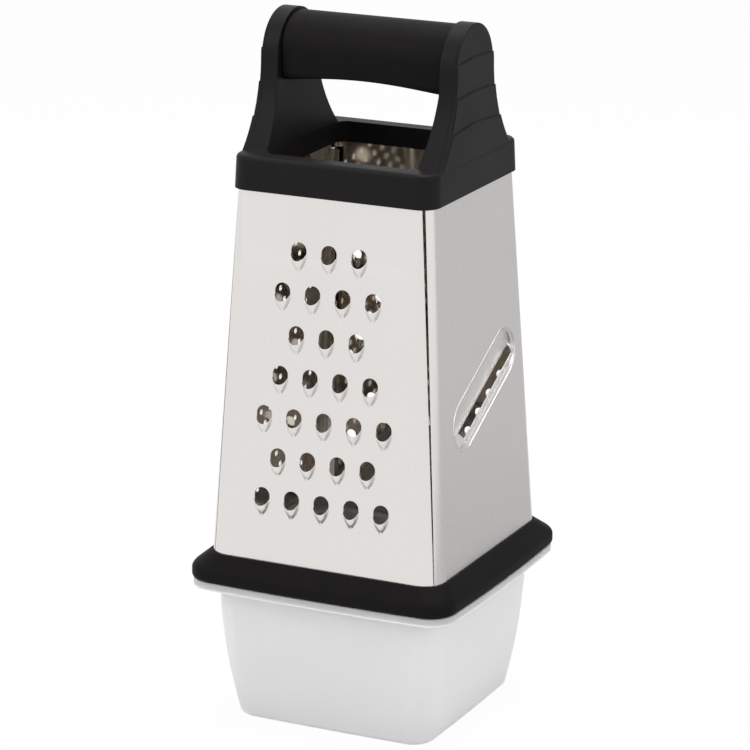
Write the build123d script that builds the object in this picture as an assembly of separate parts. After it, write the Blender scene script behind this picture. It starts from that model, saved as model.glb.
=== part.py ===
"""Four-sided box grater on a catch container, in millimetres.

Frame: +Z up, X along the coarse face, the coarse face towards -Y and the slicer towards +X.
The origin is the middle of the container's underside, on the surface that it stands on.
"""

from build123d import *
from math import atan, atan2, cos, degrees, radians, sin
import os

# Catch container
container_height = 61.0
container_wall = 1.6
container_floor = 1.8
container_foot_half = 43.2
container_mouth_half = 49.2
container_bulge = 1.5
container_foot_bow = 0.5
container_corner = 10.0
container_foot_edge = 3.0
rim_half = 57.4
rim_corner = 11.0
rim_bow = 1.6
rim_lip_height = 3.1
rim_lip_plate = 1.5

# Base ring and its soft bumper
bumper_half = 58.0
bumper_corner = 11.5
bumper_bow = 1.6
bumper_height = 11.0
bumper_reach = 0.9
bumper_shoulder_height = 6.6
bumper_shoulder_inset = 1.1
bumper_wall_top = 5.0
bumper_round = 2.6
bumper_foot_round = 1.8
ring_wall = 2.8
ring_inner_wall = 2.0
ring_cover = 2.8
ring_seat = 4.0
ring_floor = 2.0
skirt_depth = 4.0
skirt_wall = 1.6
skirt_clearance = 0.4

# Steel body: outside sizes at the bumper's top and at the collar's lower edge
body_height = 150.0
body_foot_width = 103.0
body_foot_depth = 103.0
body_head_width = 85.6
body_head_depth = 82.8
body_foot_corner = 9.5
body_head_corner = 6.0
sheet = 0.5
seam_foot_gap = 0.4
seam_head_gap = 1.3
seam_foot_turn = 49.0
seam_head_turn = 27.0
lip_depth = 5.0
lip_head_slant = 35.0
tab_width = 48.0
tab_depth = 3.0
field_foot = 6.0
field_head = 142.0
field_edge = 0.6

# Every tooth: how much wider its bulge is than its hole, where the bulge starts below the hole's middle, and
# how much of its length is domed before it runs out into the sheet
scoop_margin = 0.15
scoop_start_share = 0.16
scoop_dome_share = 0.68
scoop_sink = 0.06

# Coarse face
coarse_rows = (5, 4, 5, 4, 3, 4, 3)
coarse_pitch = 13.2
coarse_row_pitch = 16.84
coarse_first_row = 26.8
coarse_hole_width = 6.7
coarse_hole_height = 7.3
coarse_lip_height = 2.6
coarse_scoop_length = 8.2

# Medium face
medium_pitch = 10.0
medium_row_pitch = 9.0
medium_hole_width = 4.2
medium_hole_height = 4.6
medium_lip_height = 1.6
medium_scoop_length = 4.6
medium_side_margin = 11.0
medium_foot_margin = 15.0
medium_head_margin = 14.0

# Fine face
fine_pitch = 8.0
fine_row_pitch = 5.6
fine_hole_radius = 1.25
fine_side_margin = 11.0
fine_foot_margin = 14.0
fine_head_margin = 12.0

# Slicer: an inclined recess with a ramp down to the slot and a blade rising to meet it
slicer_height = 68.0
slicer_offset = 2.0
slicer_slant = 25.5
slicer_length = 66.0
slicer_width = 21.0
slicer_bevel = 1.2
slicer_foot_bevel = 1.8
slicer_recess = 1.0
slicer_ramp_drop = 1.2
slicer_blade_rise = 0.9
slicer_depth = 3.6
slicer_slot_width = 2.6
slicer_slot_shift = -3.7
slicer_slot_start = 7.5
slicer_slot_inset = 2.2
slicer_strip_margin = 0.6

# Collar shell, which carries the decorative outer faces of the uprights
collar_height = 13.6
collar_overhang = 1.6
collar_fit = 0.1
collar_lean = 0.024
collar_edge = 1.8
collar_flange = 1.6
collar_flange_reach = 4.5
collar_flange_corner = 8.0
cover_thickness = 1.1
cover_step = 0.45
cover_step_heights = (52.3, 38.9, 26.3)
cover_step_crown = 1.0
cover_skirt = 2.5

# Handle frame: rim plate, inner skirt and the two uprights
rim_plate_thickness = 2.0
rim_edge_width = 1.9
mouth_half_width = 33.0
mouth_half_depth = 34.0
mouth_corner = 5.0
mouth_skirt_depth = 8.6
mouth_skirt_wall = 2.0
upright_rise = 52.7
upright_head_radius = 17.6
upright_flare_radius = 50.0
upright_inner_half = 35.3
upright_outer_half = 41.4
upright_flare_height = 26.0
upright_wall = 2.5
upright_web = 3.0
cover_edge = 0.4

# Clamp ring and its screws
clamp_thickness = 4.0
clamp_fit = 0.15
boss_radius = 2.4
boss_inset = 4.6
clamp_screw_radius = 1.3
clamp_screw_head_radius = 2.5
clamp_screw_head_height = 1.8
screw_clearance = 0.15

# Grip
grip_drop = 1.1
grip_half_depth = 15.0
grip_crown = 13.2
grip_height = 26.4
grip_side_lean = 0.9
grip_foot_corner = 4.0
grip_arch = 3.0
grip_end_gap = 0.5
grip_wall = 2.2
grip_screw_radius = 1.6
grip_screw_length = 16.0
grip_screw_head_radius = 3.0
grip_screw_head_height = 2.0

# How far every cut runs past its work, and the little that is enough for a cut beside other work
overrun = 1.0
hair = 0.1

# Levels worked out from the sizes above
rim_z = container_height
body_z = rim_z + bumper_height
collar_z = body_z + body_height
top_z = collar_z + collar_height
plate_z = top_z - rim_plate_thickness
flange_z = plate_z - collar_flange
seat_z = rim_z + ring_seat
clamp_z = flange_z - sheet - clamp_thickness
apex_z = top_z + upright_rise
grip_top_z = apex_z - grip_drop
grip_centre_z = grip_top_z - grip_crown
grip_foot_z = grip_top_z - grip_height


def along(z, foot, head):
    """A size of the tapering body at height z, from its values at the foot and the head."""
    return foot + (head - foot) * (z - body_z) / body_height


def half_width(z):
    return along(z, body_foot_width, body_head_width) / 2


def half_depth(z):
    return along(z, body_foot_depth, body_head_depth) / 2


def corner_radius(z):
    return along(z, body_foot_corner, body_head_corner)


def rounded(z, half_x, half_y, radius):
    return Plane.XY.offset(z) * RectangleRounded(2 * half_x, 2 * half_y, radius)


def body_section(z, offset):
    """The steel body's outline at height z, moved outwards by offset."""
    return rounded(z, half_width(z) + offset, half_depth(z) + offset, corner_radius(z) + offset)


def body_block(low, high, offset):
    """The space inside the steel body's outer surface, moved outwards by offset."""
    return loft([body_section(low, offset), body_section(high, offset)], ruled=True)


def bowed(z, half, bow, radius):
    """A square with rounded corners whose sides bow outwards by bow at their middles."""
    corners = [(half, -half), (half, half), (-half, half), (-half, -half)]
    middles = [(half + bow, 0), (0, half + bow), (-half - bow, 0), (0, -half - bow)]
    sides = []
    for index, middle in enumerate(middles):
        sides.append(ThreePointArc(corners[index], middle, corners[(index + 1) % len(corners)]))
    face = make_face(Wire(sides))
    return Plane.XY.offset(z) * fillet(face.vertices(), radius)


def container_half(z):
    share = z / rim_z
    straight = container_foot_half + (container_mouth_half - container_foot_half) * share
    return straight + 4 * container_bulge * share * (1 - share)


def container_block(low, inset):
    """The container's body from height low to its rim, moved inwards by inset."""
    levels = [low + (rim_z - low) * step / 4 for step in range(5)]
    sections = []
    for z in levels:
        bow = container_foot_bow + (rim_bow - container_foot_bow) * z / rim_z
        sections.append(bowed(z, container_half(z) - inset, bow, container_corner - inset))
    return loft(sections)


def make_container():
    outside = container_block(0, 0)
    foot = outside.edges().group_by(Axis.Z)[0]
    outside = fillet(foot, container_foot_edge)
    rim = extrude(bowed(rim_z - rim_lip_height, rim_half, rim_bow, rim_corner), rim_lip_height)
    under = bowed(rim_z - rim_lip_height - overrun, rim_half - container_wall, rim_bow,
                  rim_corner - container_wall)
    rim -= extrude(under, rim_lip_height - rim_lip_plate + overrun)
    inside = container_block(container_floor, container_wall)
    mouth = bowed(rim_z - overrun, container_half(rim_z) - container_wall, rim_bow,
                  container_corner - container_wall)
    return (outside + rim) - inside - extrude(mouth, 2 * overrun)


def make_base_ring():
    outer = rounded(rim_z, half_width(body_z) + ring_wall, half_depth(body_z) + ring_wall,
                    corner_radius(body_z) + ring_wall)
    height = bumper_height - ring_cover
    ring = extrude(outer, height)
    inner_offset = -(sheet + collar_fit + ring_inner_wall)
    skirt_half = container_half(rim_z) - container_wall - skirt_clearance
    skirt_corner = container_corner - container_wall
    opening_half = skirt_half - skirt_wall
    ring -= body_block(rim_z + ring_floor, body_z + overrun, inner_offset)
    top = rim_z + height + overrun
    groove = body_block(seat_z, top, collar_fit) - body_block(seat_z, top, -(sheet + collar_fit))
    ring -= groove
    skirt = rounded(rim_z - skirt_depth, skirt_half, skirt_half, skirt_corner)
    ring += extrude(skirt, skirt_depth + ring_floor / 2)
    opening = rounded(rim_z - skirt_depth - overrun, opening_half, opening_half, skirt_corner - skirt_wall)
    return ring - extrude(opening, skirt_depth + ring_floor + 2 * overrun)


def make_base_bumper():
    shoulder = bumper_half - bumper_shoulder_inset
    sections = [
        bowed(rim_z, bumper_half, bumper_bow, bumper_corner),
        bowed(rim_z + bumper_wall_top, bumper_half, bumper_bow, bumper_corner),
        bowed(rim_z + bumper_shoulder_height, shoulder, bumper_bow, bumper_corner),
        body_section(body_z, bumper_reach),
    ]
    block = loft(sections, ruled=True)
    rounds = {rim_z: bumper_foot_round, rim_z + bumper_wall_top: bumper_round,
              rim_z + bumper_shoulder_height: bumper_round}
    for z, radius in rounds.items():
        block = fillet(block.edges().filter_by_position(Axis.Z, z - hair, z + hair), radius)
    core = rounded(rim_z - overrun, half_width(body_z) + ring_wall, half_depth(body_z) + ring_wall,
                   corner_radius(body_z) + ring_wall)
    block -= extrude(core, bumper_height - ring_cover + overrun)
    return block - body_block(rim_z, body_z + overrun, collar_fit)


def corner_centre(z, turn):
    """Centre of the body's corner arc that starts at the face whose normal points to turn."""
    x_side = 1 if turn in (-90, 0) else -1
    y_side = 1 if turn in (0, 90) else -1
    radius = corner_radius(z)
    return x_side * (half_width(z) - radius), y_side * (half_depth(z) - radius)


def seam_point(z, turn, swing, inset, shift):
    """A point on the corner that follows the face at turn, with the outward direction there, as an angle.

    The point lies inset inside the body's outline and is moved along it by shift, away from that face."""
    centre_x, centre_y = corner_centre(z, turn)
    reach = corner_radius(z) - inset
    angle = radians(turn + swing) + shift / reach
    return (centre_x + reach * cos(angle), centre_y + reach * sin(angle), z), angle


def seam_cutter(turn):
    """A wedge that parts two panels at the corner which follows the face at turn."""
    slant = radians(turn + (seam_foot_turn + seam_head_turn) / 2)
    ends = []
    for z, gap, swing in ((seat_z - overrun, seam_foot_gap, seam_foot_turn),
                          (flange_z + overrun, seam_head_gap, seam_head_turn)):
        origin, angle = seam_point(z, turn, swing, 0, 0)
        plane = Plane(origin=origin, x_dir=(cos(slant), sin(slant), 0), z_dir=(0, 0, 1))
        ends.append(plane * Rectangle(body_foot_corner, gap))
    return loft(ends, ruled=True)


def turned_lip(turn):
    """The lip that stiffens the later sheet's long edge at a seam and runs inwards behind the gap."""
    ends = []
    for z, share in ((body_z, 0), (collar_z, 1)):
        swing = seam_foot_turn + (seam_head_turn - seam_foot_turn) * share
        gap = seam_foot_gap + (seam_head_gap - seam_foot_gap) * share
        origin, angle = seam_point(z, turn, swing, sheet / 2, gap / 2 + sheet)
        inwards = angle + radians(180 + lip_head_slant * share)
        plane = Plane(origin=origin, x_dir=(cos(inwards), sin(inwards), 0), z_dir=(0, 0, 1))
        ends.append(plane * Rectangle(lip_depth, sheet, align=(Align.MIN, Align.CENTER)))
    return loft(ends, ruled=True)


def across_faces(turn):
    """True for the two faces that lie along X."""
    return turn in (-90, 90)


def face_lean(turn):
    """How far a face leans inwards, as an angle."""
    taper = body_foot_depth - body_head_depth if across_faces(turn) else body_foot_width - body_head_width
    return atan2(taper / 2, body_height)


def face_plane(turn, height, offset):
    """Plane on a face's outer surface, height above the bumper and offset along the face."""
    z = body_z + height
    half = half_depth(z) if across_faces(turn) else half_width(z)
    lean = face_lean(turn)
    angle = radians(turn)
    normal = (cos(angle) * cos(lean), sin(angle) * cos(lean), sin(lean))
    side = (-sin(angle), cos(angle), 0)
    origin = (cos(angle) * half + side[0] * offset, sin(angle) * half + side[1] * offset, z)
    return Plane(origin=origin, x_dir=side, z_dir=normal)


def scoop_body(hole_width, hole_height, lip_height, length, inset):
    """A turned body lying along the face, widest just below a hole's middle, that runs out in an S curve."""
    half = hole_width / 2 + scoop_margin
    radius = (half ** 2 + lip_height ** 2) / (2 * lip_height)
    depth = radius - lip_height
    drop = lip_height + scoop_sink - inset / 2
    lean = 2 * atan(drop / length)
    dome = length * scoop_dome_share / sin(lean)
    foot = length * (1 - scoop_dome_share) / sin(lean)
    crest = radius - inset
    dome_arc = JernArc((0, crest), (1, 0), dome, -degrees(lean))
    foot_arc = JernArc(dome_arc @ 1, dome_arc % 1, foot, degrees(lean))
    outline = [Line((0, 0), (0, crest)), dome_arc, foot_arc,
               Line(foot_arc @ 1, (length, 0)), Line((length, 0), (0, 0))]
    body = revolve(make_face(Wire(outline)), Axis.X)
    return Pos(0, -hole_height * scoop_start_share, -depth) * Rot(0, 0, -90) * body


def tooth_scoop(hole_width, hole_height, lip_height, length):
    """The outside of the bulge below a hole, standing on the sheet."""
    outer = scoop_body(hole_width, hole_height, lip_height, length, 0)
    above = Pos(0, 0, hole_width - sheet / 2) * Box(2 * hole_width, 4 * length, 2 * hole_width)
    return outer & above


def tooth_hollow(hole_width, hole_height, lip_height, length):
    """The inside of the bulge, with the oval hole whose lower edge is the cutting lip."""
    inner = scoop_body(hole_width, hole_height, lip_height, length, sheet)
    hole = Pos(0, 0, -2 * sheet) * Rot(0, 0, 90) * SlotOverall(hole_height, hole_width)
    return inner + extrude(hole, 2 * sheet + lip_height + overrun)


def coarse_places():
    places = []
    for row, count in enumerate(coarse_rows):
        for index in range(count):
            across = (index - (count - 1) / 2) * coarse_pitch
            places.append((coarse_first_row + row * coarse_row_pitch, across))
    return places


def staggered_places(half_at, pitch, row_pitch, side_margin, foot_margin, head_margin):
    """Places of a staggered field that keeps its margins on the tapering face."""
    places = []
    rows = int((body_height - foot_margin - head_margin) / row_pitch) + 1
    for row in range(rows):
        height = foot_margin + row * row_pitch
        shift = pitch / 2 if row % 2 else 0
        half = half_at(body_z + height) - side_margin
        count = int((half - shift) / pitch)
        first = -count * pitch - shift
        across = first
        while across <= half + hair:
            places.append((height, across))
            across += pitch
    return places


def at_places(turn, places, shape):
    return [face_plane(turn, height, across).location * shape for height, across in places]


def cut_slicer(panel, turn):
    """Presses the slicer's recess into its panel: a ramp that falls to the slot, and the blade beyond it."""
    face = face_plane(turn, slicer_height, slicer_offset).location * Rot(0, 0, slicer_slant)

    def obround(level, inset):
        return Pos(0, 0, level) * SlotOverall(slicer_length - 2 * inset, slicer_width - 2 * inset)

    edge = slicer_width / 2 + sheet
    strip = slicer_width / 2 - slicer_bevel - slicer_strip_margin
    slot_top = slicer_slot_shift + slicer_slot_width / 2
    slot_low = slicer_slot_shift - slicer_slot_width / 2
    ramp_low = -slicer_recess - slicer_ramp_drop
    blade_high = -slicer_recess + slicer_blade_rise
    floor = [(edge, -slicer_recess), (strip, -slicer_recess), (slot_top, ramp_low),
             (slot_low, blade_high), (-strip, -slicer_recess), (-edge, -slicer_recess)]

    def pressing(walls, drop):
        lowered = [(across, level - drop) for across, level in floor]
        profile = Plane.YZ * make_face(Polyline((-edge, overrun), (edge, overrun), *lowered, close=True))
        return loft(walls, ruled=True) & extrude(profile, slicer_length / 2, both=True)

    press = pressing([obround(0, 0), obround(-slicer_recess, slicer_bevel),
                      obround(-slicer_depth, slicer_foot_bevel)], 0)
    backing = pressing([obround(-sheet / 2, -sheet / 2),
                        obround(-slicer_recess - sheet, slicer_bevel - sheet),
                        obround(-slicer_depth, slicer_foot_bevel - sheet)], sheet)
    above = extrude(obround(-hair, 0), overrun)
    slot_start = slicer_slot_start - slicer_length / 2
    window = Pos(slot_start, slicer_slot_shift, 0) * Box(slicer_length, slicer_slot_width, 2 * slicer_depth,
                                                         align=(Align.MIN, Align.CENTER, Align.CENTER))
    window &= extrude(obround(-slicer_depth, slicer_slot_inset), slicer_depth)
    return panel + face * backing - face * press - face * above - face * window


def with_tab(panel, turn):
    """Adds the tab at a sheet's head, which the clamp ring holds under the collar's flange."""
    half = half_depth(flange_z) if across_faces(turn) else half_width(flange_z)
    tab = Box(tab_depth, tab_width, sheet, align=(Align.MAX, Align.CENTER, Align.MAX))
    return panel + Rot(0, 0, turn) * Pos(half - sheet / 2, 0, flange_z) * tab


def flat_field(turn, low, high, overlap):
    """A flat stretch of a face between two heights, as wide as the face is between its rolled corners."""
    plane = face_plane(turn, low, 0)
    half_at = half_width if across_faces(turn) else half_depth
    slope = cos(face_lean(turn))
    rise = (high - low) / slope
    foot = half_at(body_z + low) - corner_radius(body_z + low) - field_edge
    head = half_at(body_z + high) - corner_radius(body_z + high) - field_edge
    outline = Polyline((-foot, 0), (foot, 0), (head, rise), (-head, rise), close=True)
    thickness = sheet * slope
    block = extrude(make_face(outline), thickness + 2 * overlap)
    return plane.location * Pos(0, 0, -thickness - overlap) * block


def with_field(panel, turn, field):
    """Sets a flat stretch with its teeth or holes into the same stretch of its panel."""
    gap = flat_field(turn, field_foot, field_head, hair)
    return panel - gap + field


def make_panels():
    """The four pressed sheets that make the body, each with one rolled corner."""
    shell = body_block(seat_z, flange_z, 0) - body_block(seat_z - overrun, flange_z + overrun, -sheet)
    shell -= [seam_cutter(turn) for turn in (-90, 0, 90, 180)]
    sheets = shell.solids()
    front = min(sheets, key=lambda piece: piece.center().Y)
    rear = max(sheets, key=lambda piece: piece.center().Y)
    right = max(sheets, key=lambda piece: piece.center().X)
    left = min(sheets, key=lambda piece: piece.center().X)
    front += turned_lip(180)
    right += turned_lip(-90)
    rear += turned_lip(0)
    left += turned_lip(90)
    sizes = (coarse_hole_width, coarse_hole_height, coarse_lip_height, coarse_scoop_length)
    places = coarse_places()
    coarse = flat_field(-90, field_foot, field_head, 0) + at_places(-90, places, tooth_scoop(*sizes))
    coarse -= at_places(-90, places, tooth_hollow(*sizes))
    sizes = (medium_hole_width, medium_hole_height, medium_lip_height, medium_scoop_length)
    places = staggered_places(half_width, medium_pitch, medium_row_pitch, medium_side_margin,
                              medium_foot_margin, medium_head_margin)
    medium = flat_field(90, field_foot, field_head, 0) + at_places(90, places, tooth_scoop(*sizes))
    medium -= at_places(90, places, tooth_hollow(*sizes))
    places = staggered_places(half_depth, fine_pitch, fine_row_pitch, fine_side_margin,
                              fine_foot_margin, fine_head_margin)
    punch = Rot(0, 0, 90) * Cylinder(fine_hole_radius, 4 * sheet)
    fine = flat_field(180, field_foot, field_head, 0) - at_places(180, places, punch)
    return {
        "coarse_panel": with_field(with_tab(front, -90), -90, coarse),
        "slicer_panel": cut_slicer(with_tab(right, 0), 0),
        "medium_panel": with_field(with_tab(rear, 90), 90, medium),
        "fine_panel": with_field(with_tab(left, 180), 180, fine),
    }


def collar_section(z, inset):
    """The collar's outline at height z, moved inwards by inset."""
    rise = z - collar_z
    half_x = half_width(collar_z) + collar_overhang - collar_lean * rise
    half_y = half_depth(z) + collar_overhang
    radius = corner_radius(collar_z) + collar_overhang
    return rounded(z, half_x - inset, half_y - inset, radius - inset)


def bell_face(inset, skirt):
    """An upright's outline seen from the side: a round head that flares to the collar, with a skirt below."""
    radius = upright_head_radius - inset
    flare = upright_flare_radius + inset
    head_z = apex_z - upright_head_radius
    foot_z = top_z - rim_plate_thickness / 2 + inset
    fall = head_z - foot_z
    turn = atan2(fall, (flare ** 2 - fall ** 2) ** 0.5)
    foot_half = radius + flare * (1 - cos(turn))
    half_turn = turn / 2
    middle = (radius + flare * (1 - cos(half_turn)), head_z - flare * sin(half_turn))
    right = ThreePointArc((radius, head_z), middle, (foot_half, foot_z))
    head = ThreePointArc((-radius, head_z), (0, head_z + radius), (radius, head_z))
    left = ThreePointArc((-foot_half, foot_z), (-middle[0], middle[1]), (-radius, head_z))
    skirt_z = foot_z - skirt
    base = Polyline((foot_half, foot_z), (foot_half, skirt_z), (-foot_half, skirt_z), (-foot_half, foot_z))
    return make_face(Wire([head, right, *base.edges(), left]))


def bell_plate(low, high, inset, skirt):
    """The upright's outline as a plate between two distances along X."""
    return extrude(Plane.YZ.offset(low) * bell_face(inset, skirt), high - low)


def below_step(height, reach):
    """A block of the side region below one crowned step line, from the cover's inner face outwards."""
    crown = cover_step_crown
    radius = (upright_head_radius ** 2 + crown ** 2) / (2 * crown)
    side_view = Plane.YZ.offset(upright_outer_half)
    return extrude(side_view * Pos(0, collar_z + height + crown - radius) * Circle(radius), reach)


def mouth_block(low, high, offset):
    """The handle frame's mouth between two heights, its walls moved outwards by offset."""
    outline = rounded(low, mouth_half_width + offset, mouth_half_depth + offset, mouth_corner + offset)
    return extrude(outline, high - low)


def boss_places():
    """Centres of the four screw bosses, in the corners of the clamp ring."""
    across = half_width(clamp_z) - boss_inset
    deep = half_depth(clamp_z) - boss_inset
    return [(across, deep), (-across, deep), (-across, -deep), (across, -deep)]


def at_bosses(z, radius, height):
    """Upright cylinders of one size on the boss centres, from height z upwards."""
    base = (Align.CENTER, Align.CENTER, Align.MIN)
    return [Pos(x, y, z) * Cylinder(radius, height, align=base) for x, y in boss_places()]


def rim_plate(low, high):
    """The space of the handle frame's plate, which lies in the collar's top."""
    return loft([collar_section(low, rim_edge_width), collar_section(high, rim_edge_width)], ruled=True)


def upright_cover():
    """The decorative face of the +X upright, each crowned step standing proud of the one above."""
    layers = [bell_plate(upright_outer_half, upright_outer_half + cover_thickness, 0, cover_skirt)]
    for level, height in enumerate(cover_step_heights, start=1):
        reach = cover_thickness + cover_step * level
        plate = bell_plate(upright_outer_half, upright_outer_half + reach, 0, cover_skirt)
        layers.append(plate & below_step(height, reach))
    softened = [fillet(layer.faces().sort_by(Axis.X)[-1].edges(), cover_edge) for layer in layers]
    return softened[0] + softened[1:]


def make_collar_shell():
    collar = loft([collar_section(collar_z, 0), collar_section(top_z, 0)], ruled=True)
    collar = fillet(collar.edges().group_by(Axis.Z)[-1], collar_edge)
    collar -= body_block(collar_z - overrun, flange_z, collar_fit)
    opening = rounded(flange_z - overrun, half_width(flange_z) - collar_flange_reach,
                      half_depth(flange_z) - collar_flange_reach, collar_flange_corner)
    collar -= extrude(opening, collar_flange + 2 * overrun)
    collar -= at_bosses(flange_z - overrun, boss_radius + collar_fit, collar_flange + 2 * overrun)
    upright_space = bell_plate(mouth_half_width, upright_outer_half, 0, hair)
    collar = collar - upright_space - upright_space.mirror(Plane.YZ)
    cover = upright_cover()
    collar = collar + cover + cover.mirror(Plane.YZ)
    return collar - rim_plate(plate_z, top_z)


def across_bar(low, radius, high):
    """A cylinder along X on the grip screws' line, between two distances from the middle."""
    bar = Cylinder(radius, high - low, align=(Align.CENTER, Align.CENTER, Align.MIN))
    return Pos(low, 0, grip_centre_z) * Rot(0, 90, 0) * bar


def make_upright():
    """The +X upright: its inner face leans in towards the mouth, and its outer side is hollow."""
    upright = bell_plate(mouth_half_width, upright_outer_half, 0, hair)
    inner_side = [(mouth_half_width, top_z), (upright_inner_half, top_z + upright_flare_height),
                  (upright_inner_half, apex_z + overrun), (mouth_half_width - overrun, apex_z + overrun),
                  (mouth_half_width - overrun, top_z)]
    reach = 2 * upright_flare_radius
    upright -= extrude(Plane.XZ.offset(-reach) * make_face(Polyline(*inner_side, close=True)), 2 * reach)
    floor = upright_inner_half + upright_web
    pocket = bell_plate(floor, upright_outer_half + overrun, upright_wall, hair)
    upright -= pocket - across_bar(floor, grip_screw_head_radius + upright_wall, upright_outer_half + overrun)
    upright -= across_bar(floor, grip_screw_head_radius + screw_clearance, upright_outer_half + overrun)
    return upright - across_bar(mouth_half_width, grip_screw_radius + screw_clearance, upright_outer_half)


def make_handle_frame():
    skirt = mouth_block(top_z - mouth_skirt_depth, top_z, mouth_skirt_wall)
    upright = make_upright()
    frame = rim_plate(plate_z, top_z) + skirt + upright + upright.mirror(Plane.YZ)
    frame -= mouth_block(top_z - mouth_skirt_depth - overrun, top_z + hair, 0)
    boss_z = flange_z - sheet
    boss_height = collar_flange + sheet + rim_plate_thickness / 2
    frame += at_bosses(boss_z, boss_radius, boss_height)
    return frame - at_bosses(boss_z - overrun, clamp_screw_radius, boss_height + overrun)


def make_clamp_ring():
    ring = body_block(clamp_z, clamp_z + clamp_thickness, -(sheet + clamp_fit))
    ring -= mouth_block(clamp_z - overrun, clamp_z + clamp_thickness + overrun, mouth_skirt_wall + clamp_fit)
    hole_radius = clamp_screw_radius + screw_clearance
    return ring - at_bosses(clamp_z - overrun, hole_radius, clamp_thickness + 2 * overrun)


def make_clamp_screws():
    """Four screws, driven up through the clamp ring into the bosses."""
    length = clamp_thickness + collar_flange + sheet + rim_plate_thickness / 2
    shanks = at_bosses(clamp_z, clamp_screw_radius, length)
    heads = at_bosses(clamp_z - clamp_screw_head_height, clamp_screw_head_radius, clamp_screw_head_height)
    return Compound(children=[head + shank for head, shank in zip(heads, shanks)])


def grip_face(inset, foot_z):
    """The grip's section: a crown over sides that lean in to a flat foot."""
    half = grip_half_depth - inset
    crown_z = grip_top_z - inset
    foot_half = half - grip_side_lean
    crown = EllipticalCenterArc((0, grip_centre_z), half, crown_z - grip_centre_z, arc_size=180)
    left = Line((-half, grip_centre_z), (-foot_half, foot_z))
    foot = Line((-foot_half, foot_z), (foot_half, foot_z))
    right = Line((foot_half, foot_z), (half, grip_centre_z))
    face = make_face(Wire([crown, left, foot, right]))
    corners = face.vertices().group_by(Axis.Y)[0]
    return fillet(corners, grip_foot_corner - inset)


def grip_bar(half_length, inset, foot_z):
    return extrude(Plane.YZ.offset(-half_length) * grip_face(inset, foot_z), 2 * half_length)


def make_grip_core():
    foot_z = grip_foot_z + grip_arch + grip_wall
    core = grip_bar(upright_inner_half, grip_wall, foot_z)
    for side in (-1, 1):
        hole = Rot(0, 90 * side, 0) * Cylinder(grip_screw_radius, grip_screw_length + overrun,
                                               align=(Align.CENTER, Align.CENTER, Align.MIN))
        core -= Pos(side * (upright_inner_half - grip_screw_length + upright_web), 0, grip_centre_z) * hole
    return core


def make_grip_sleeve():
    half_length = upright_inner_half - grip_end_gap
    sleeve = grip_bar(half_length, 0, grip_foot_z)
    radius = (half_length ** 2 + grip_arch ** 2) / (2 * grip_arch)
    arch = Pos(0, 0, grip_foot_z + grip_arch - radius) * Rot(90, 0, 0) * Cylinder(radius, 4 * grip_half_depth)
    sleeve -= arch
    core_foot = grip_foot_z + grip_arch + grip_wall
    return sleeve - grip_bar(upright_inner_half, grip_wall, core_foot)


def make_grip_screws():
    """Two screws, driven through the uprights into the ends of the grip's core."""
    screws = []
    for side in (-1, 1):
        floor = upright_inner_half + upright_web
        shank = Cylinder(grip_screw_radius, grip_screw_length, align=(Align.CENTER, Align.CENTER, Align.MAX))
        head = Cylinder(grip_screw_head_radius, grip_screw_head_height,
                        align=(Align.CENTER, Align.CENTER, Align.MIN))
        screws.append(Pos(side * floor, 0, grip_centre_z) * Rot(0, 90 * side, 0) * (shank + head))
    return Compound(children=screws)


def main():
    nodes = {
        "container": make_container(),
        "base_ring": make_base_ring(),
        "base_bumper": make_base_bumper(),
        "collar_shell": make_collar_shell(),
        "handle_frame": make_handle_frame(),
        "clamp_ring": make_clamp_ring(),
        "clamp_screws": make_clamp_screws(),
        "grip_core": make_grip_core(),
        "grip_sleeve": make_grip_sleeve(),
        "grip_screws": make_grip_screws(),
    }
    nodes.update(make_panels())
    os.makedirs("parts", exist_ok=True)
    for name, shape in nodes.items():
        export_step(shape, f"parts/{name}.step")
        print(name, len(shape.solids()), "solids", round(shape.volume), "mm3")


if __name__ == "__main__":
    main()
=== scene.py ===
"""Box grater on its catch container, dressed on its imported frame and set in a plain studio.

Everything is in metres in the grater's own frame: +Z up from the container's underside,
X along the coarse face and the grip, the coarse face towards -Y and the slicer towards +X.
"""

import math

import bpy
from mathutils import Matrix, Vector


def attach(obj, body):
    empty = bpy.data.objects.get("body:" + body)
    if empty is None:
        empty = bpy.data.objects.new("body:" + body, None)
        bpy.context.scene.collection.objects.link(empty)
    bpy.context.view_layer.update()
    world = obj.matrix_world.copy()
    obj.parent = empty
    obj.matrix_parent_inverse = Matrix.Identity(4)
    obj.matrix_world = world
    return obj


bl_info = {
    "name": "Box Grater Studio",
    "version": (1, 0, 0),
    "blender": (4, 5, 0),
    "location": "View3D > Sidebar > Grater",
    "description": "Dresses the packed box grater and sets up its studio",
    "category": "Object",
}

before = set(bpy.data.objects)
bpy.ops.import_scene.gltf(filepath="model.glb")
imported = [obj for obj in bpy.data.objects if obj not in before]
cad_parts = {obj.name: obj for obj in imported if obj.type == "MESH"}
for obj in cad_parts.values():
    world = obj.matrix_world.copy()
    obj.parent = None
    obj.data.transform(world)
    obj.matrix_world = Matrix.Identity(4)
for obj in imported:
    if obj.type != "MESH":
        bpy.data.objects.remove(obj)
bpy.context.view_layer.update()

MM = 0.001
WHITE = (1.0, 1.0, 1.0, 1.0)

# The steel body's outer sizes, in millimetres, at the bumper's top and at the collar's lower edge
BODY_FOOT_Z = 72.0
BODY_HEIGHT = 150.0
BODY_FOOT_HALF = 51.5
BODY_HEAD_HALF_WIDTH = 42.8
BODY_HEAD_HALF_DEPTH = 41.4

# How far the left and right sheets lean inwards, in radians
BODY_LEAN = math.atan2(BODY_FOOT_HALF - BODY_HEAD_HALF_WIDTH, BODY_HEIGHT)

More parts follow.
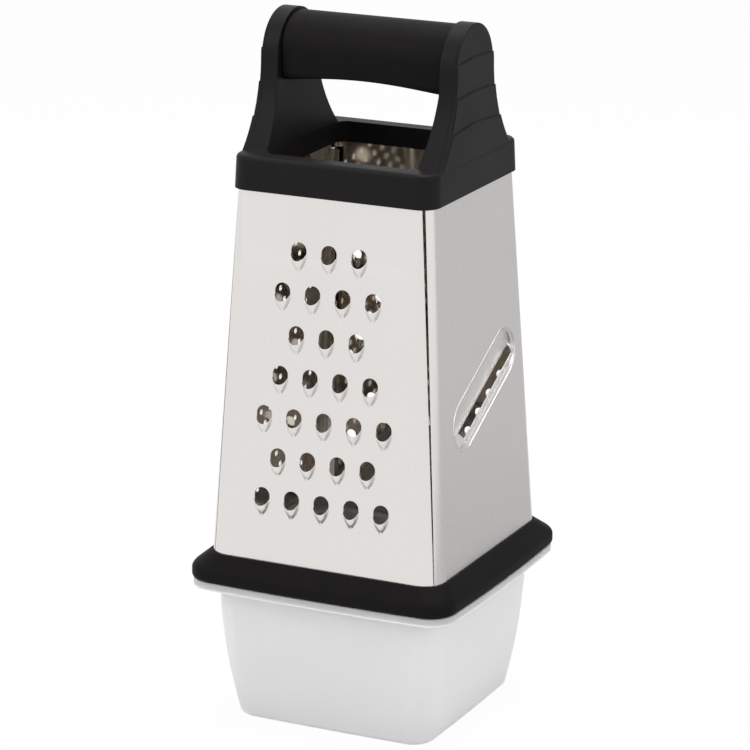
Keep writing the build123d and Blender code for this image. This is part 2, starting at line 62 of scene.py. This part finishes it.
# The fine face's staggered holes, in millimetres
FINE_PITCH = 8.0
FINE_ROW_PITCH = 5.6
FINE_SIDE_MARGIN = 11.0
FINE_FOOT_MARGIN = 14.0
FINE_HEAD_MARGIN = 12.0
FINE_HOLE_RADIUS = 1.25

# The torn crown of a fine hole: its radius as a share of the hole's, its thickness as a share
# of its height, how much it is stretched upwards, its steps, and how far it is torn in millimetres
BURR_RADIUS_SHARE = 1.12
BURR_THICKNESS_SHARE = 0.3
BURR_STRETCH = 2.0
BURR_RING_STEPS = 12
BURR_SECTION_SIDES = 4
BURR_TEAR = 0.09

# The slicer's slanted recess: sizes in millimetres, and its slant along the face in degrees
RECESS_HEIGHT = 68.0
RECESS_OFFSET = 2.0
RECESS_SLANT = 25.5
RECESS_LENGTH = 66.0
RECESS_WIDTH = 21.0

# The recess's rim: its steps, and how deep its middle lies in the sheet, in millimetres
RIM_STEPS = 96
RIM_SECTION_SIDES = 8
RIM_SINK = 0.17

# Which way each pressed sheet faces, as an angle about +Z from +X, in degrees
SHEET_TURNS = {"coarse_panel": -90, "slicer_panel": 0, "medium_panel": 90, "fine_panel": 180}

# A face of a sheet is on its inner side when it points less outwards than this
INNER_SIDE_LIMIT = -0.1

# Patterns, as repeats in a metre: 1000 divided by the real size in millimetres.
# The grains of the plastic and the rubber are drawn coarser than the real ones, so that they show.
SHEET_GRAIN = (3000.0, 3000.0, 30.0)
SHEET_CLOUD = 24.0
PRESSED_WAVE = 60.0
PLASTIC_GRAIN = 3000.0
PLASTIC_CLOUD = 40.0
RUBBER_GRAIN = 2200.0
RUBBER_BLOOM = 55.0
CONTAINER_CLOUD = 30.0

# Nearly all of a noise pattern's values lie between these two
NOISE_LOW = 0.3
NOISE_HIGH = 0.7

EDGE_SAMPLES = 6

# The painted shade on the container's rim starts at the first height and is at its darkest from
# the second
RIM_SHADE_START = 57.5 * MM
RIM_SHADE_END = 59.0 * MM

# The studio: metres, watts, and shares of plain white
FLOOR_SIDE = 4.0
FLOOR_WHITE_SHARE = 0.94
ROOM_COLOUR = (0.8, 0.8, 0.81, 1.0)
ROOM_STRENGTH = 0.68
LAMP_AIM = (0.0, 0.0, 0.15)

# Each lamp's name, place, side and power
LAMPS = (
    ("key_softbox", (-0.9, -1.3, 1.2), 1.0, 7.5),
    ("fill_softbox", (1.4, -0.4, 0.9), 1.0, 4.0),
    ("top_softbox", (0.0, 0.2, 1.4), 0.8, 11.0),
)

# Each grey card's name, place, the way it faces, width, height and grey
CARDS = (
    ("rear_right_card", (0.22, 0.36, 0.30), (-0.22, -0.36, 0.0), 0.62, 0.598, 0.66),
    ("table_card", (0.33, 0.20, 0.001), (0.0, 0.0, 1.0), 0.50, 0.62, 0.60),
)
CARD_BLUE_SHARE = 1.01

SENSOR_WIDTH = 36.0
CAMERA_CLIP_START = 0.05


def linear(hex_colour):
    """An sRGB hex colour as linear red, green, blue and alpha."""
    channels = [int(hex_colour[i:i + 2], 16) / 255 for i in (1, 3, 5)]
    curve = [c / 12.92 if c <= 0.04045 else ((c + 0.055) / 1.055) ** 2.4 for c in channels]
    return (*curve, 1.0)


def shade(colour, share=1.0):
    """A colour with its light multiplied by a share, and its alpha."""
    return (*(channel * share for channel in colour), 1.0)


def add_node(tree, kind, settings=None, inputs=None):
    """Adds a node with its settings, and sets or links its inputs."""
    node = tree.nodes.new(kind)
    for key, value in (settings or {}).items():
        setattr(node, key, value)
    for key, value in (inputs or {}).items():
        socket = node.inputs[key]
        if isinstance(value, bpy.types.NodeSocket):
            tree.links.new(value, socket)
        else:
            socket.default_value = value
    return node


def spread(low, high):
    """Map Range inputs that lay a noise pattern's values between a low and a high one."""
    return {"From Min": NOISE_LOW, "From Max": NOISE_HIGH, "To Min": low, "To Max": high}


def new_material(name):
    """A material with only its output node, and that node's tree."""
    material = bpy.data.materials.new(name)
    material.use_nodes = True
    tree = material.node_tree
    tree.nodes.clear()
    return material, tree, tree.nodes.new("ShaderNodeOutputMaterial")


def shared(maker):
    """The material that a maker makes, made once and then shared."""
    return bpy.data.materials.get(maker.__name__) or maker()


def stainless_sheet():
    """Cold-rolled stainless with a fine satin face: bright, with a soft vertical grain."""
    material, tree, output = new_material("stainless_sheet")
    place = add_node(tree, "ShaderNodeTexCoord").outputs["Object"]
    # The rolled grain runs up the sheet: about 0.3 mm across and 30 mm long
    stretch = add_node(tree, "ShaderNodeMapping", inputs={"Vector": place, "Scale": SHEET_GRAIN})
    grain = add_node(tree, "ShaderNodeTexNoise", inputs={
        "Vector": stretch.outputs[0], "Scale": 1.0, "Detail": 3.0, "Roughness": 0.6})
    # Handling and rolling leave clouds about 40 mm across
    cloud = add_node(tree, "ShaderNodeTexNoise", inputs={
        "Vector": place, "Scale": SHEET_CLOUD, "Detail": 3.0})
    tone = add_node(tree, "ShaderNodeMapRange", inputs={
        "Value": cloud.outputs[0], **spread(0.24, 0.33)})
    fine = add_node(tree, "ShaderNodeMapRange", inputs={
        "Value": grain.outputs[0], **spread(-0.02, 0.02)})
    rough = add_node(tree, "ShaderNodeMath", {"operation": "ADD"}, {
        0: tone.outputs[0], 1: fine.outputs[0]})
    # Cut edges are tumbled, so they catch the light softly
    edge = add_node(tree, "ShaderNodeBevel", {"samples": EDGE_SAMPLES}, {"Radius": 0.22 * MM})
    bump = add_node(tree, "ShaderNodeBump", inputs={
        "Strength": 0.005, "Distance": 0.02 * MM, "Height": grain.outputs[0],
        "Normal": edge.outputs[0]})
    along = add_node(tree, "ShaderNodeTangent", {"direction_type": "RADIAL", "axis": "Z"})
    shader = add_node(tree, "ShaderNodeBsdfPrincipled", inputs={
        "Base Color": shade(bpy.context.scene.grater.steel_colour), "Metallic": 1.0,
        "Roughness": rough.outputs[0], "Anisotropic": 0.3, "Tangent": along.outputs[0],
        "Normal": bump.outputs[0]})
    tree.links.new(shader.outputs[0], output.inputs["Surface"])
    return material


def polished_inside():
    """The sheet's inner side, left with the mill's bright polish: mirror-like, slightly warm."""
    material, tree, output = new_material("polished_inside")
    place = add_node(tree, "ShaderNodeTexCoord").outputs["Object"]
    # The pressing leaves a shallow orange peel about 17 mm across
    wave = add_node(tree, "ShaderNodeTexNoise", inputs={
        "Vector": place, "Scale": PRESSED_WAVE, "Detail": 1.0})
    edge = add_node(tree, "ShaderNodeBevel", {"samples": EDGE_SAMPLES}, {"Radius": 0.15 * MM})
    bump = add_node(tree, "ShaderNodeBump", inputs={
        "Strength": 0.2, "Distance": 0.3 * MM, "Height": wave.outputs[0],
        "Normal": edge.outputs[0]})
    rough = add_node(tree, "ShaderNodeMapRange", inputs={
        "Value": wave.outputs[0], **spread(0.05, 0.09)})
    shader = add_node(tree, "ShaderNodeBsdfPrincipled", inputs={
        "Base Color": linear("#C8BFB3"), "Metallic": 1.0, "Roughness": rough.outputs[0],
        "Normal": bump.outputs[0]})
    tree.links.new(shader.outputs[0], output.inputs["Surface"])
    return material


def moulded_abs():
    """Black ABS from a fine spark-eroded mould: satin, with a fine grain and uneven gloss."""
    material, tree, output = new_material("moulded_abs")
    place = add_node(tree, "ShaderNodeTexCoord").outputs["Object"]
    grain = add_node(tree, "ShaderNodeTexNoise", inputs={
        "Vector": place, "Scale": PLASTIC_GRAIN, "Detail": 2.0})
    cloud = add_node(tree, "ShaderNodeTexNoise", inputs={
        "Vector": place, "Scale": PLASTIC_CLOUD, "Detail": 3.0})
    black = bpy.context.scene.grater.plastic_colour
    colour = add_node(tree, "ShaderNodeMix", {"data_type": "RGBA"}, {
        "Factor": cloud.outputs[0], "A": shade(black, 0.85), "B": shade(black, 1.25)})
    rough = add_node(tree, "ShaderNodeMapRange", inputs={
        "Value": cloud.outputs[0], **spread(0.40, 0.48)})
    edge = add_node(tree, "ShaderNodeBevel", {"samples": EDGE_SAMPLES}, {"Radius": 0.7 * MM})
    bump = add_node(tree, "ShaderNodeBump", inputs={
        "Strength": 0.16, "Distance": 0.03 * MM, "Height": grain.outputs[0],
        "Normal": edge.outputs[0]})
    shader = add_node(tree, "ShaderNodeBsdfPrincipled", inputs={
        "Base Color": colour.outputs[2], "Roughness": rough.outputs[0],
        "Specular IOR Level": 0.1, "Normal": bump.outputs[0]})
    tree.links.new(shader.outputs[0], output.inputs["Surface"])
    return material


def soft_touch_rubber():
    """Black thermoplastic rubber: matte, with a soft broad sheen and a faint dusty bloom."""
    material, tree, output = new_material("soft_touch_rubber")
    place = add_node(tree, "ShaderNodeTexCoord").outputs["Object"]
    grain = add_node(tree, "ShaderNodeTexNoise", inputs={
        "Vector": place, "Scale": RUBBER_GRAIN, "Detail": 2.0})
    bloom = add_node(tree, "ShaderNodeTexNoise", inputs={
        "Vector": place, "Scale": RUBBER_BLOOM, "Detail": 4.0, "Roughness": 0.65})
    black = bpy.context.scene.grater.rubber_colour
    colour = add_node(tree, "ShaderNodeMix", {"data_type": "RGBA"}, {
        "Factor": bloom.outputs[0], "A": shade(black, 0.8), "B": shade(black, 1.3)})
    edge = add_node(tree, "ShaderNodeBevel", {"samples": EDGE_SAMPLES}, {"Radius": 0.9 * MM})
    bump = add_node(tree, "ShaderNodeBump", inputs={
        "Strength": 0.2, "Distance": 0.04 * MM, "Height": grain.outputs[0],
        "Normal": edge.outputs[0]})
    shader = add_node(tree, "ShaderNodeBsdfPrincipled", inputs={
        "Base Color": colour.outputs[2], "Roughness": 0.5, "Specular IOR Level": 0.04,
        "Normal": bump.outputs[0]})
    tree.links.new(shader.outputs[0], output.inputs["Surface"])
    return material


def frosted_polypropylene():
    """Natural polypropylene, injection moulded: milky, light shows through, with a satin skin."""
    material, tree, output = new_material("frosted_polypropylene")
    place = add_node(tree, "ShaderNodeTexCoord").outputs["Object"]
    cloud = add_node(tree, "ShaderNodeTexNoise", inputs={
        "Vector": place, "Scale": CONTAINER_CLOUD, "Detail": 2.0})
    rough = add_node(tree, "ShaderNodeMapRange", inputs={
        "Value": cloud.outputs[0], **spread(0.38, 0.46)})
    # The rim lies under the black bumper, and is painted a darker band of shade there, where the
    # bumper's shade falls on it
    height = add_node(tree, "ShaderNodeSeparateXYZ", inputs={"Vector": place})
    rim_shade = add_node(tree, "ShaderNodeMapRange", {"interpolation_type": "SMOOTHSTEP"}, {
        "Value": height.outputs["Z"], "From Min": RIM_SHADE_START, "From Max": RIM_SHADE_END})
    colour = add_node(tree, "ShaderNodeMix", {"data_type": "RGBA"}, {
        "Factor": rim_shade.outputs[0], "A": shade(bpy.context.scene.grater.container_colour),
        "B": linear("#BDBCBB")})
    edge = add_node(tree, "ShaderNodeBevel", {"samples": EDGE_SAMPLES}, {"Radius": 0.5 * MM})
    # Light wanders a few millimetres through the wall before it leaves
    shader = add_node(tree, "ShaderNodeBsdfPrincipled", inputs={
        "Base Color": colour.outputs[2], "Roughness": rough.outputs[0],
        "Specular IOR Level": 0.35, "Subsurface Weight": 0.85,
        "Subsurface Radius": (1.0, 1.0, 1.0), "Subsurface Scale": 5.0 * MM,
        "Normal": edge.outputs[0]})
    tree.links.new(shader.outputs[0], output.inputs["Surface"])
    return material


def seen_ray(tree):
    """1 where a ray comes from the camera or by way of metal or a clear piece, else 0."""
    path = add_node(tree, "ShaderNodeLightPath")
    both = add_node(tree, "ShaderNodeMath", {"operation": "ADD"}, {
        0: path.outputs["Is Camera Ray"], 1: path.outputs["Is Glossy Ray"]})
    total = add_node(tree, "ShaderNodeMath", {"operation": "ADD", "use_clamp": True}, {
        0: both.outputs[0], 1: path.outputs["Is Transmission Ray"]})
    return total.outputs[0]


def paint(node, *materials):
    """Gives a CAD node its finish."""
    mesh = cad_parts[node].data
    mesh.materials.clear()
    for material in materials:
        mesh.materials.append(material)


class GraterSizes(bpy.types.PropertyGroup):
    """The camera, the colours and the steel's fine detail, as a user would set them."""

    camera_turn: bpy.props.FloatProperty(
        name="Camera turn", description="How far the camera stands round from the coarse face",
        default=math.radians(25.623), subtype="ANGLE")
    camera_pitch: bpy.props.FloatProperty(
        name="Camera pitch", description="How far the camera looks down",
        default=math.radians(16.321), subtype="ANGLE")
    camera_roll: bpy.props.FloatProperty(
        name="Camera roll", description="How far the camera leans",
        default=math.radians(0.282), subtype="ANGLE")
    camera_distance: bpy.props.FloatProperty(
        name="Camera distance", description="From the camera to the point it looks at",
        default=1.4846, unit="LENGTH")
    camera_aim: bpy.props.FloatVectorProperty(
        name="Camera aim", description="The point on the grater's axis that the camera looks at",
        default=(0.0, 0.0, 0.13974), size=3, subtype="TRANSLATION")
    camera_slide: bpy.props.FloatProperty(
        name="Camera slide", description="How far the camera is moved sideways",
        default=-0.00029, unit="LENGTH")
    lens: bpy.props.FloatProperty(
        name="Lens", description="Focal length on a 36 mm sensor, in millimetres",
        default=175.4, subtype="DISTANCE_CAMERA")
    steel_colour: bpy.props.FloatVectorProperty(
        name="Steel", description="The outside of the pressed sheets",
        default=linear("#E1DEDC")[:3], size=3, min=0.0, max=1.0, subtype="COLOR")
    plastic_colour: bpy.props.FloatVectorProperty(
        name="Plastic", description="The collar and the handle frame",
        default=linear("#181617")[:3], size=3, min=0.0, max=1.0, subtype="COLOR")
    rubber_colour: bpy.props.FloatVectorProperty(
        name="Rubber", description="The grip's sleeve and the bumper",
        default=linear("#181617")[:3], size=3, min=0.0, max=1.0, subtype="COLOR")
    container_colour: bpy.props.FloatVectorProperty(
        name="Container", description="The milky plastic of the tub",
        default=linear("#EDECEC")[:3], size=3, min=0.0, max=1.0, subtype="COLOR")
    burr_height: bpy.props.FloatProperty(
        name="Burr height", description="Sets how high and thick the fine face's torn crowns are",
        default=0.55 * MM, unit="LENGTH")
    burr_seed: bpy.props.IntProperty(
        name="Burr seed", description="Picks how the crowns are torn", default=7, min=0)
    rim_width: bpy.props.FloatProperty(
        name="Rim width", description="How wide the pressed rim round the slicer's recess is",
        default=0.85 * MM, unit="LENGTH")


class SteelOperator(bpy.types.Operator):
    """Finish the four pressed sheets"""

    bl_idname = "grater.steel"
    bl_label = "Steel sheets"

    def execute(self, context):
        outside = shared(stainless_sheet)
        inside = shared(polished_inside)
        for node, turn in SHEET_TURNS.items():
            paint(node, outside, inside)
            angle = math.radians(turn)
            outward = Vector((math.cos(angle), math.sin(angle), 0.0))
            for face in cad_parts[node].data.polygons:
                inner = face.normal.dot(outward) < INNER_SIDE_LIMIT
                face.material_index = 1 if inner else 0
        return {"FINISHED"}


def fine_hole_places():
    """Middles of the fine face's holes, on its outer surface."""
    places = []
    rows = int((BODY_HEIGHT - FINE_FOOT_MARGIN - FINE_HEAD_MARGIN) / FINE_ROW_PITCH) + 1
    for row in range(rows):
        height = FINE_FOOT_MARGIN + row * FINE_ROW_PITCH
        share = height / BODY_HEIGHT
        half = BODY_FOOT_HALF + (BODY_HEAD_HALF_DEPTH - BODY_FOOT_HALF) * share - FINE_SIDE_MARGIN
        across = BODY_FOOT_HALF + (BODY_HEAD_HALF_WIDTH - BODY_FOOT_HALF) * share
        shift = FINE_PITCH / 2 if row % 2 else 0.0
        count = int((half - shift) / FINE_PITCH)
        columns = 2 * count + (2 if row % 2 else 1)
        for column in range(columns):
            along = (column - (columns - 1) / 2) * FINE_PITCH
            places.append(Vector((-across, along, BODY_FOOT_Z + height)) * MM)
    return places


def rim_points():
    """Points round the recess on the slicer's face: two half rounds joined by straights."""
    half = BODY_FOOT_HALF - RECESS_HEIGHT * math.tan(BODY_LEAN)
    middle = Vector((half - RIM_SINK, RECESS_OFFSET, BODY_FOOT_Z + RECESS_HEIGHT)) * MM
    face = Matrix.Rotation(math.pi / 2 - BODY_LEAN, 3, "Y") @ Matrix.Rotation(math.pi / 2, 3, "Z")
    face = face @ Matrix.Rotation(math.radians(RECESS_SLANT), 3, "Z")
    radius = RECESS_WIDTH / 2
    straight = (RECESS_LENGTH - RECESS_WIDTH) / 2
    points = []
    for step in range(RIM_STEPS):
        angle = math.tau * (step + 0.5) / RIM_STEPS
        shift = math.copysign(straight, math.cos(angle))
        flat = Vector((radius * math.cos(angle) + shift, radius * math.sin(angle), 0.0))
        points.append(middle + face @ flat * MM)
    return points


def new_geometry_tree(name, sizes):
    """A tree with geometry in and out and an input for each size, and what its inputs give."""
    tree = bpy.data.node_groups.new(name, "GeometryNodeTree")
    tree.interface.new_socket("Geometry", in_out="INPUT", socket_type="NodeSocketGeometry")
    for size, kind in sizes.items():
        tree.interface.new_socket(size, in_out="INPUT", socket_type=kind)
    tree.interface.new_socket("Geometry", in_out="OUTPUT", socket_type="NodeSocketGeometry")
    return tree, add_node(tree, "NodeGroupInput").outputs


def burr_nodes(material):
    """A tree that stands a torn crown of metal on every point it is given."""
    tree, given = new_geometry_tree("burr_crowns", {
        "Radius": "NodeSocketFloat", "Height": "NodeSocketFloat", "Lean": "NodeSocketFloat",
        "Seed": "NodeSocketInt"})
    # A crown is a closed ring of four-sided section, stretched upwards and half sunk in the sheet
    thickness = add_node(tree, "ShaderNodeMath", {"operation": "MULTIPLY"}, {
        0: given["Height"], 1: BURR_THICKNESS_SHARE})
    circle = add_node(tree, "GeometryNodeCurvePrimitiveCircle", inputs={
        "Resolution": BURR_RING_STEPS, "Radius": given["Radius"]})
    section = add_node(tree, "GeometryNodeCurvePrimitiveCircle", inputs={
        "Resolution": BURR_SECTION_SIDES, "Radius": thickness.outputs[0]})
    ring = add_node(tree, "GeometryNodeCurveToMesh", inputs={
        "Curve": circle.outputs[0], "Profile Curve": section.outputs[0]})
    crown = add_node(tree, "GeometryNodeTransform", inputs={
        "Geometry": ring.outputs[0], "Scale": (1.0, 1.0, BURR_STRETCH)})
    # Each crown is turned by chance about its hole, and leans with the sheet
    points = add_node(tree, "GeometryNodeMeshToPoints", inputs={"Mesh": given["Geometry"]})
    spin = add_node(tree, "FunctionNodeRandomValue", {"data_type": "FLOAT"}, {
        "Min": 0.0, "Max": math.tau, "Seed": given["Seed"]})
    turned = add_node(tree, "ShaderNodeCombineXYZ", inputs={"Z": spin.outputs[1]})
    down = add_node(tree, "ShaderNodeMath", {"operation": "SUBTRACT"}, {
        0: given["Lean"], 1: math.pi / 2})
    tip = add_node(tree, "ShaderNodeCombineXYZ", inputs={"Y": down.outputs[0]})
    stood = add_node(tree, "GeometryNodeInstanceOnPoints", inputs={
        "Points": points.outputs[0], "Instance": crown.outputs[0], "Rotation": tip.outputs[0]})
    spun = add_node(tree, "GeometryNodeRotateInstances", inputs={
        "Instances": stood.outputs[0], "Rotation": turned.outputs[0], "Local Space": True})
    real = add_node(tree, "GeometryNodeRealizeInstances", inputs={"Geometry": spun.outputs[0]})
    # Each tooth of a crown is torn a little differently
    tear = add_node(tree, "FunctionNodeRandomValue", {"data_type": "FLOAT_VECTOR"}, {
        "Min": (-BURR_TEAR * MM,) * 3, "Max": (BURR_TEAR * MM,) * 3, "Seed": given["Seed"]})
    torn = add_node(tree, "GeometryNodeSetPosition", inputs={
        "Geometry": real.outputs[0], "Offset": tear.outputs[0]})
    finished = add_node(tree, "GeometryNodeSetMaterial", inputs={
        "Geometry": torn.outputs[0], "Material": material})
    add_node(tree, "NodeGroupOutput", inputs={"Geometry": finished.outputs[0]})
    return tree


def rim_nodes(material):
    """A tree that runs a rounded rim along the closed line it is given."""
    tree, given = new_geometry_tree("recess_rim", {"Width": "NodeSocketFloat"})
    path = add_node(tree, "GeometryNodeMeshToCurve", inputs={"Mesh": given["Geometry"]})
    half = add_node(tree, "ShaderNodeMath", {"operation": "MULTIPLY"}, {0: given["Width"], 1: 0.5})
    section = add_node(tree, "GeometryNodeCurvePrimitiveCircle", inputs={
        "Resolution": RIM_SECTION_SIDES, "Radius": half.outputs[0]})
    rim = add_node(tree, "GeometryNodeCurveToMesh", inputs={
        "Curve": path.outputs[0], "Profile Curve": section.outputs[0]})
    real = add_node(tree, "GeometryNodeRealizeInstances", inputs={"Geometry": rim.outputs[0]})
    finished = add_node(tree, "GeometryNodeSetMaterial", inputs={
        "Geometry": real.outputs[0], "Material": material})
    add_node(tree, "NodeGroupOutput", inputs={"Geometry": finished.outputs[0]})
    return tree


def grown(name, points, edges, tree, values):
    """A piece that a node tree grows on points and edges, left as its plain mesh."""
    mesh = bpy.data.meshes.new(name)
    mesh.from_pydata(points, edges, [])
    piece = bpy.data.objects.new(name, mesh)
    bpy.context.scene.collection.objects.link(piece)
    modifier = piece.modifiers.new(tree.name, "NODES")
    modifier.node_group = tree
    for item in tree.interface.items_tree:
        if item.in_out == "INPUT" and item.name in values:
            modifier[item.identifier] = values[item.name]
    bpy.context.view_layer.update()
    seen = piece.evaluated_get(bpy.context.evaluated_depsgraph_get())
    finished = bpy.data.meshes.new_from_object(seen)
    piece.modifiers.remove(modifier)
    piece.data = finished
    return piece


class BurrOperator(bpy.types.Operator):
    """Raise the torn crowns round the fine face's punched holes"""

    bl_idname = "grater.burrs"
    bl_label = "Fine burrs"

    def execute(self, context):
        sizes = context.scene.grater
        piece = grown("burr_crowns", fine_hole_places(), [], burr_nodes(shared(stainless_sheet)), {
            "Radius": FINE_HOLE_RADIUS * MM * BURR_RADIUS_SHARE, "Height": sizes.burr_height,
            "Lean": BODY_LEAN, "Seed": sizes.burr_seed})
        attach(piece, "grater")
        return {"FINISHED"}


class RimOperator(bpy.types.Operator):
    """Raise the pressed rim round the slicer's recess"""

    bl_idname = "grater.rim"
    bl_label = "Slicer rim"

    def execute(self, context):
        loop = [(step, (step + 1) % RIM_STEPS) for step in range(RIM_STEPS)]
        piece = grown("recess_rim", rim_points(), loop, rim_nodes(shared(stainless_sheet)), {
            "Width": context.scene.grater.rim_width})
        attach(piece, "grater")
        return {"FINISHED"}


class PlasticOperator(bpy.types.Operator):
    """Finish the collar, the handle, the bumper and the pieces hidden in them"""

    bl_idname = "grater.plastic"
    bl_label = "Black plastic"

    def execute(self, context):
        plastic = shared(moulded_abs)
        for node in ("collar_shell", "handle_frame", "clamp_ring", "grip_core"):
            paint(node, plastic)
        rubber = shared(soft_touch_rubber)
        for node in ("base_bumper", "grip_sleeve"):
            paint(node, rubber)
        steel = shared(stainless_sheet)
        for node in ("clamp_screws", "grip_screws"):
            paint(node, steel)
        return {"FINISHED"}


class ContainerOperator(bpy.types.Operator):
    """Finish the catch container and the ring that centres the body on it"""

    bl_idname = "grater.container"
    bl_label = "Catch container"

    def execute(self, context):
        milky = shared(frosted_polypropylene)
        for node in ("container", "base_ring"):
            paint(node, milky)
        return {"FINISHED"}


def studio_sheet(name, width, depth, material):
    """A flat rectangle round its own origin, facing up."""
    mesh = bpy.data.meshes.new(name)
    corners = [(-width / 2, -depth / 2, 0), (width / 2, -depth / 2, 0),
               (width / 2, depth / 2, 0), (-width / 2, depth / 2, 0)]
    mesh.from_pydata(corners, [], [(0, 1, 2, 3)])
    mesh.materials.append(material)
    sheet = bpy.data.objects.new(name, mesh)
    bpy.context.scene.collection.objects.link(sheet)
    return sheet


class StageOperator(bpy.types.Operator):
    """Set up the floor, the light and the camera"""

    bl_idname = "grater.stage"
    bl_label = "Studio"

    def execute(self, context):
        scene = context.scene
        self.make_floor()
        self.make_world(scene)
        self.make_lamps(scene)
        self.make_cards()
        self.make_camera(scene)
        scene.view_settings.view_transform = "Standard"
        return {"FINISHED"}

    def make_floor(self):
        """White paper: most of it is plain white, and the rest keeps the grater's shadow."""
        material, tree, output = new_material("white_paper")
        lit = add_node(tree, "ShaderNodeBsdfDiffuse", inputs={"Color": WHITE})
        glow = add_node(tree, "ShaderNodeEmission", inputs={"Color": WHITE, "Strength": 1.0})
        seen = add_node(tree, "ShaderNodeMath", {"operation": "MULTIPLY"}, {
            0: seen_ray(tree), 1: FLOOR_WHITE_SHARE})
        mix = add_node(tree, "ShaderNodeMixShader", inputs={
            0: seen.outputs[0], 1: lit.outputs[0], 2: glow.outputs[0]})
        tree.links.new(mix.outputs[0], output.inputs["Surface"])
        studio_sheet("floor", FLOOR_SIDE, FLOOR_SIDE, material)

    def make_world(self, scene):
        """A grey room that lights the grater, seen as plain white."""
        world = bpy.data.worlds.new("studio")
        world.use_nodes = True
        tree = world.node_tree
        tree.nodes.clear()
        output = add_node(tree, "ShaderNodeOutputWorld")
        room = add_node(tree, "ShaderNodeBackground", inputs={
            "Color": ROOM_COLOUR, "Strength": ROOM_STRENGTH})
        white = add_node(tree, "ShaderNodeBackground", inputs={"Color": WHITE, "Strength": 1.0})
        mix = add_node(tree, "ShaderNodeMixShader", inputs={
            0: seen_ray(tree), 1: room.outputs[0], 2: white.outputs[0]})
        tree.links.new(mix.outputs[0], output.inputs["Surface"])
        scene.world = world

    def make_lamps(self, scene):
        """Square softboxes, all turned to the middle of the grater."""
        for name, place, side, power in LAMPS:
            light = bpy.data.lights.new(name, "AREA")
            light.shape = "SQUARE"
            light.size = side
            light.energy = power
            lamp = bpy.data.objects.new(name, light)
            lamp.location = place
            ahead = Vector(LAMP_AIM) - lamp.location
            lamp.rotation_euler = ahead.to_track_quat("-Z", "Y").to_euler()
            scene.collection.objects.link(lamp)

    def make_cards(self):
        """Grey cards beside the camera's view, which only the metal and the gloss show."""
        for name, place, facing, width, height, grey in CARDS:
            material, tree, output = new_material(name)
            glow = add_node(tree, "ShaderNodeEmission", inputs={
                "Color": (grey, grey, grey * CARD_BLUE_SHARE, 1.0), "Strength": 1.0})
            tree.links.new(glow.outputs[0], output.inputs["Surface"])
            card = studio_sheet(name, width, height, material)
            card.location = place
            card.rotation_euler = Vector(facing).to_track_quat("Z", "Y").to_euler()
            card.visible_camera = False
            card.visible_diffuse = False
            card.visible_shadow = False
            card.visible_transmission = False

    def make_camera(self, scene):
        """A long lens at the photograph's viewing angle."""
        sizes = scene.grater
        turn, pitch, roll = sizes.camera_turn, sizes.camera_pitch, sizes.camera_roll
        ahead = Vector((
            -math.sin(turn) * math.cos(pitch), math.cos(turn) * math.cos(pitch), -math.sin(pitch)))
        level = Vector((math.cos(turn), math.sin(turn), 0.0))
        up = level.cross(ahead)
        right = math.cos(roll) * level + math.sin(roll) * up
        upward = math.cos(roll) * up - math.sin(roll) * level
        data = bpy.data.cameras.new("studio_camera")
        data.sensor_width = SENSOR_WIDTH
        data.lens = sizes.lens
        data.clip_start = CAMERA_CLIP_START
        camera = bpy.data.objects.new("studio_camera", data)
        place = Vector(sizes.camera_aim) - ahead * sizes.camera_distance
        place = place + right * sizes.camera_slide
        turned = Matrix((right, upward, -ahead)).transposed().to_4x4()
        camera.matrix_world = Matrix.Translation(place) @ turned
        scene.collection.objects.link(camera)
        scene.camera = camera


class GraterPanel(bpy.types.Panel):
    """Lists the grater's sizes and colours, its pieces and its studio in the sidebar"""

    bl_idname = "VIEW3D_PT_grater"
    bl_label = "Box grater"
    bl_space_type = "VIEW_3D"
    bl_region_type = "UI"
    bl_category = "Grater"

    def draw(self, context):
        for size in GraterSizes.__annotations__:
            self.layout.prop(context.scene.grater, size)
        for operator in OPERATORS:
            self.layout.operator(operator.bl_idname)


OPERATORS = (
    SteelOperator, BurrOperator, RimOperator, PlasticOperator, ContainerOperator, StageOperator)
CLASSES = (GraterSizes, *OPERATORS, GraterPanel)


def register():
    for item in CLASSES:
        bpy.utils.register_class(item)
    bpy.types.Scene.grater = bpy.props.PointerProperty(type=GraterSizes)


def unregister():
    del bpy.types.Scene.grater
    for item in reversed(CLASSES):
        bpy.utils.unregister_class(item)


def main():
    register()
    bpy.ops.grater.steel()
    bpy.ops.grater.burrs()
    bpy.ops.grater.rim()
    bpy.ops.grater.plastic()
    bpy.ops.grater.container()
    bpy.ops.grater.stage()


if __name__ == "__main__":
    main()
